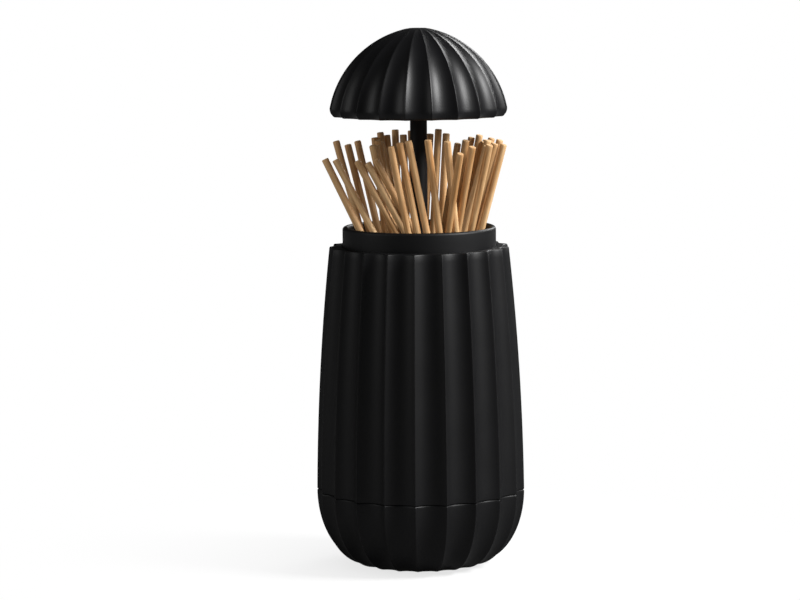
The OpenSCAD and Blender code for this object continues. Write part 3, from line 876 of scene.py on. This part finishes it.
class DISPENSER_OT_metal(bpy.types.Operator):
    """Build the wound spring and finish the screws, rod, nut, clip and washer"""

    bl_idname = "dispenser.metal"
    bl_label = "Spring and Metal Parts"

    wire_radius, turns = 0.55, 9  # radius in millimetres
    end_pitch = 1.6  # rise of the closed turn at each end, in millimetres
    wire_sides, turn_steps = 12, 32

    def execute(self, context):
        screws = drawn_steel("screw_steel", looks().steel, (1.0, 1.0, 0.2))
        finish_nodes(["base_screws", "sleeve_screws", "lid_screw", "lid_washer", "rotor_clip",
                      "stop_nut"], screws)
        rod = drawn_steel("rod_steel", looks().steel, (1.0, 1.0, 0.02))
        finish_nodes(["guide_rod"], rod)
        low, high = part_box("lift_spring")
        wire, turns, end = self.wire_radius, self.turns, self.end_pitch
        radius = mm(high.x - low.x) / 2 - wire
        bottom, top = mm(low.z) + wire, mm(high.z) - wire
        pitch = (top - bottom - 2 * end) / (turns - 2)
        sides, steps = self.wire_sides, self.turn_steps * turns
        points, faces = [], []
        for s in range(steps + 1):
            t = turns * s / steps
            z = bottom + end * t
            if t >= 1:
                z = bottom + end + pitch * (t - 1)
            if t > turns - 1:
                z = top - end * (turns - t)
            for k in range(sides):
                b = 2 * math.pi * k / sides
                r = radius + wire * math.cos(b)
                a = 2 * math.pi * t
                points.append((r * math.cos(a), r * math.sin(a), z + wire * math.sin(b)))
        for s in range(steps):
            for k in range(sides):
                n = (k + 1) % sides
                i, j = s * sides, (s + 1) * sides
                faces.append((i + k, j + k, j + n, i + n))
        faces.append(tuple(range(sides)))
        faces.append(tuple(steps * sides + k for k in reversed(range(sides))))
        steel = drawn_steel("spring_steel", looks().steel, (0.4, 0.4, 1.0))
        piece = add_object("wound_spring", points, faces, steel, FINE_SHARP)
        replace_node(piece, "lift_spring")
        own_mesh(piece)
        return {"FINISHED"}


class DISPENSER_OT_stage(bpy.types.Operator):
    """Set up the camera, the lamps, the floor and the white surround"""

    bl_idname = "dispenser.stage"
    bl_label = "Studio"

    # Sizes in metres
    lamp_distance, aim_height = 0.90, 0.085
    sensor_width = 36.0  # in millimetres
    shadow_start, shadow_width, shadow_share = 0.02, 0.10, 0.25
    floor_half = 6.0

    def add_lamp(self, name, azimuth, elevation, size, watts):
        """An area lamp round the dispenser, its azimuth measured from the camera to the right."""
        lamp = bpy.data.lights.new(name, "AREA")
        lamp.shape = "RECTANGLE"
        lamp.size, lamp.size_y = size, size
        lamp.energy = watts
        made = bpy.data.objects.new(name, lamp)
        bpy.context.scene.collection.objects.link(made)
        a, e = math.radians(azimuth), math.radians(elevation)
        away = (math.sin(a) * math.cos(e), -math.cos(a) * math.cos(e), math.sin(e))
        made.location = (away[0] * self.lamp_distance, away[1] * self.lamp_distance,
                         self.aim_height + away[2] * self.lamp_distance)
        made.rotation_euler = (math.pi / 2 - e, 0.0, a)

    def add_camera(self, studio):
        data = bpy.data.cameras.new("studio_camera")
        data.sensor_width = self.sensor_width
        data.lens = studio.camera_lens
        camera = bpy.data.objects.new("studio_camera", data)
        bpy.context.scene.collection.objects.link(camera)
        camera.location = (0.0, -studio.camera_distance, studio.camera_height)
        turn = (Matrix.Rotation(studio.camera_yaw, 4, "Z")
                @ Matrix.Rotation(math.pi / 2 - studio.camera_pitch, 4, "X")
                @ Matrix.Rotation(studio.camera_roll, 4, "Z"))
        camera.rotation_euler = turn.to_euler()
        bpy.context.scene.camera = camera

    def white_rays(self, graph, gloss_share):
        """1 for a ray that shows the surround to the camera, and a share of it in gloss."""
        camera, clear, gloss = graph.light_path(
            "Is Camera Ray", "Is Transmission Ray", "Is Glossy Ray")
        return (camera + clear).at_most(1.0).at_least(gloss * gloss_share), camera, gloss

    def add_world(self, studio):
        world = bpy.data.worlds.new("studio_room")
        bpy.context.scene.world = world
        graph = Graph(world)
        rays, _, gloss = self.white_rays(graph, studio.gloss_share)
        strength = rays.at_least((1 - gloss) * studio.room_light)
        background = graph.node("ShaderNodeBackground", {},
                                {"Color": WHITE, "Strength": strength})
        graph.node("ShaderNodeOutputWorld", {}, {"Surface": background})

    def add_floor(self, studio):
        material, graph = new_material("studio_paper")
        where = graph.node("ShaderNodeNewGeometry", output="Position")
        fibres = graph.noise(where, 900.0, 3.0)
        rays, camera, _ = self.white_rays(graph, studio.gloss_share)
        white = graph.blend(fibres, (0.86, 0.86, 0.86, 1.0), (0.9, 0.9, 0.9, 1.0))
        colours = graph.blend(camera, rgba(studio.floor_bounce), white)
        paper = graph.node("ShaderNodeBsdfDiffuse", {}, {"Color": colours})
        glow = graph.node("ShaderNodeEmission", {}, {"Color": WHITE, "Strength": 1.0})
        flat = graph.vector("MULTIPLY", where, (1.0, 1.0, 0.0))
        reach = graph.node(
            "ShaderNodeVectorMath", {"operation": "LENGTH"}, {0: flat}, output="Value")
        near = (1 - (reach - self.shadow_start) / self.shadow_width).at_most(1.0).at_least(0.0)
        factor = rays * (1 - near * near * self.shadow_share)
        graph.finish(graph.node("ShaderNodeMixShader", {}, {0: factor, 1: paper, 2: glow}))
        half = self.floor_half
        corners = [(-half, -half, 0), (half, -half, 0), (half, half, 0), (-half, half, 0)]
        floor = add_object("studio_floor", np.array(corners) / MM, [(0, 1, 2, 3)], material)

    def execute(self, context):
        scene = bpy.context.scene
        scene.view_settings.view_transform = "Standard"
        studio = scene.dispenser_studio
        self.add_camera(studio)
        self.add_world(studio)
        self.add_floor(studio)
        self.add_lamp("key_lamp", 74, 36, 0.32, studio.key_power)
        self.add_lamp("fill_lamp", -72, 22, 0.45, studio.fill_power)
        self.add_lamp("rim_lamp", 150, 25, 0.35, studio.rim_power)
        return {"FINISHED"}


OPERATORS = (DISPENSER_OT_stage, DISPENSER_OT_body, DISPENSER_OT_bowl, DISPENSER_OT_collar,
             DISPENSER_OT_lid, DISPENSER_OT_picks, DISPENSER_OT_mouldings, DISPENSER_OT_metal)


class DISPENSER_PT_panel(bpy.types.Panel):
    """Lists the steps that build the dispenser"""

    bl_idname = "DISPENSER_PT_panel"
    bl_label = "Toothpick Dispenser"
    bl_space_type = "VIEW_3D"
    bl_region_type = "UI"
    bl_category = "Dispenser"

    def draw(self, context):
        for operator in OPERATORS:
            self.layout.operator(operator.bl_idname)
        for group in (context.scene.dispenser_sizes, context.scene.dispenser_colours,
                      context.scene.dispenser_studio):
            box = self.layout.box()
            for name in group.__annotations__:
                box.prop(group, name)


CLASSES = (DispenserSizes, DispenserColours, DispenserStudio, *OPERATORS, DISPENSER_PT_panel)


def register():
    for item in CLASSES:
        bpy.utils.register_class(item)
    bpy.types.Scene.dispenser_sizes = bpy.props.PointerProperty(type=DispenserSizes)
    bpy.types.Scene.dispenser_colours = bpy.props.PointerProperty(type=DispenserColours)
    bpy.types.Scene.dispenser_studio = bpy.props.PointerProperty(type=DispenserStudio)


def unregister():
    del bpy.types.Scene.dispenser_studio
    del bpy.types.Scene.dispenser_colours
    del bpy.types.Scene.dispenser_sizes
    for item in reversed(CLASSES):
        bpy.utils.unregister_class(item)


def main():
    register()
    bpy.ops.dispenser.stage()
    bpy.ops.dispenser.body()
    bpy.ops.dispenser.bowl()
    bpy.ops.dispenser.collar()
    bpy.ops.dispenser.lid()
    bpy.ops.dispenser.picks()
    bpy.ops.dispenser.mouldings()
    bpy.ops.dispenser.metal()


if __name__ == "__main__":
    main()
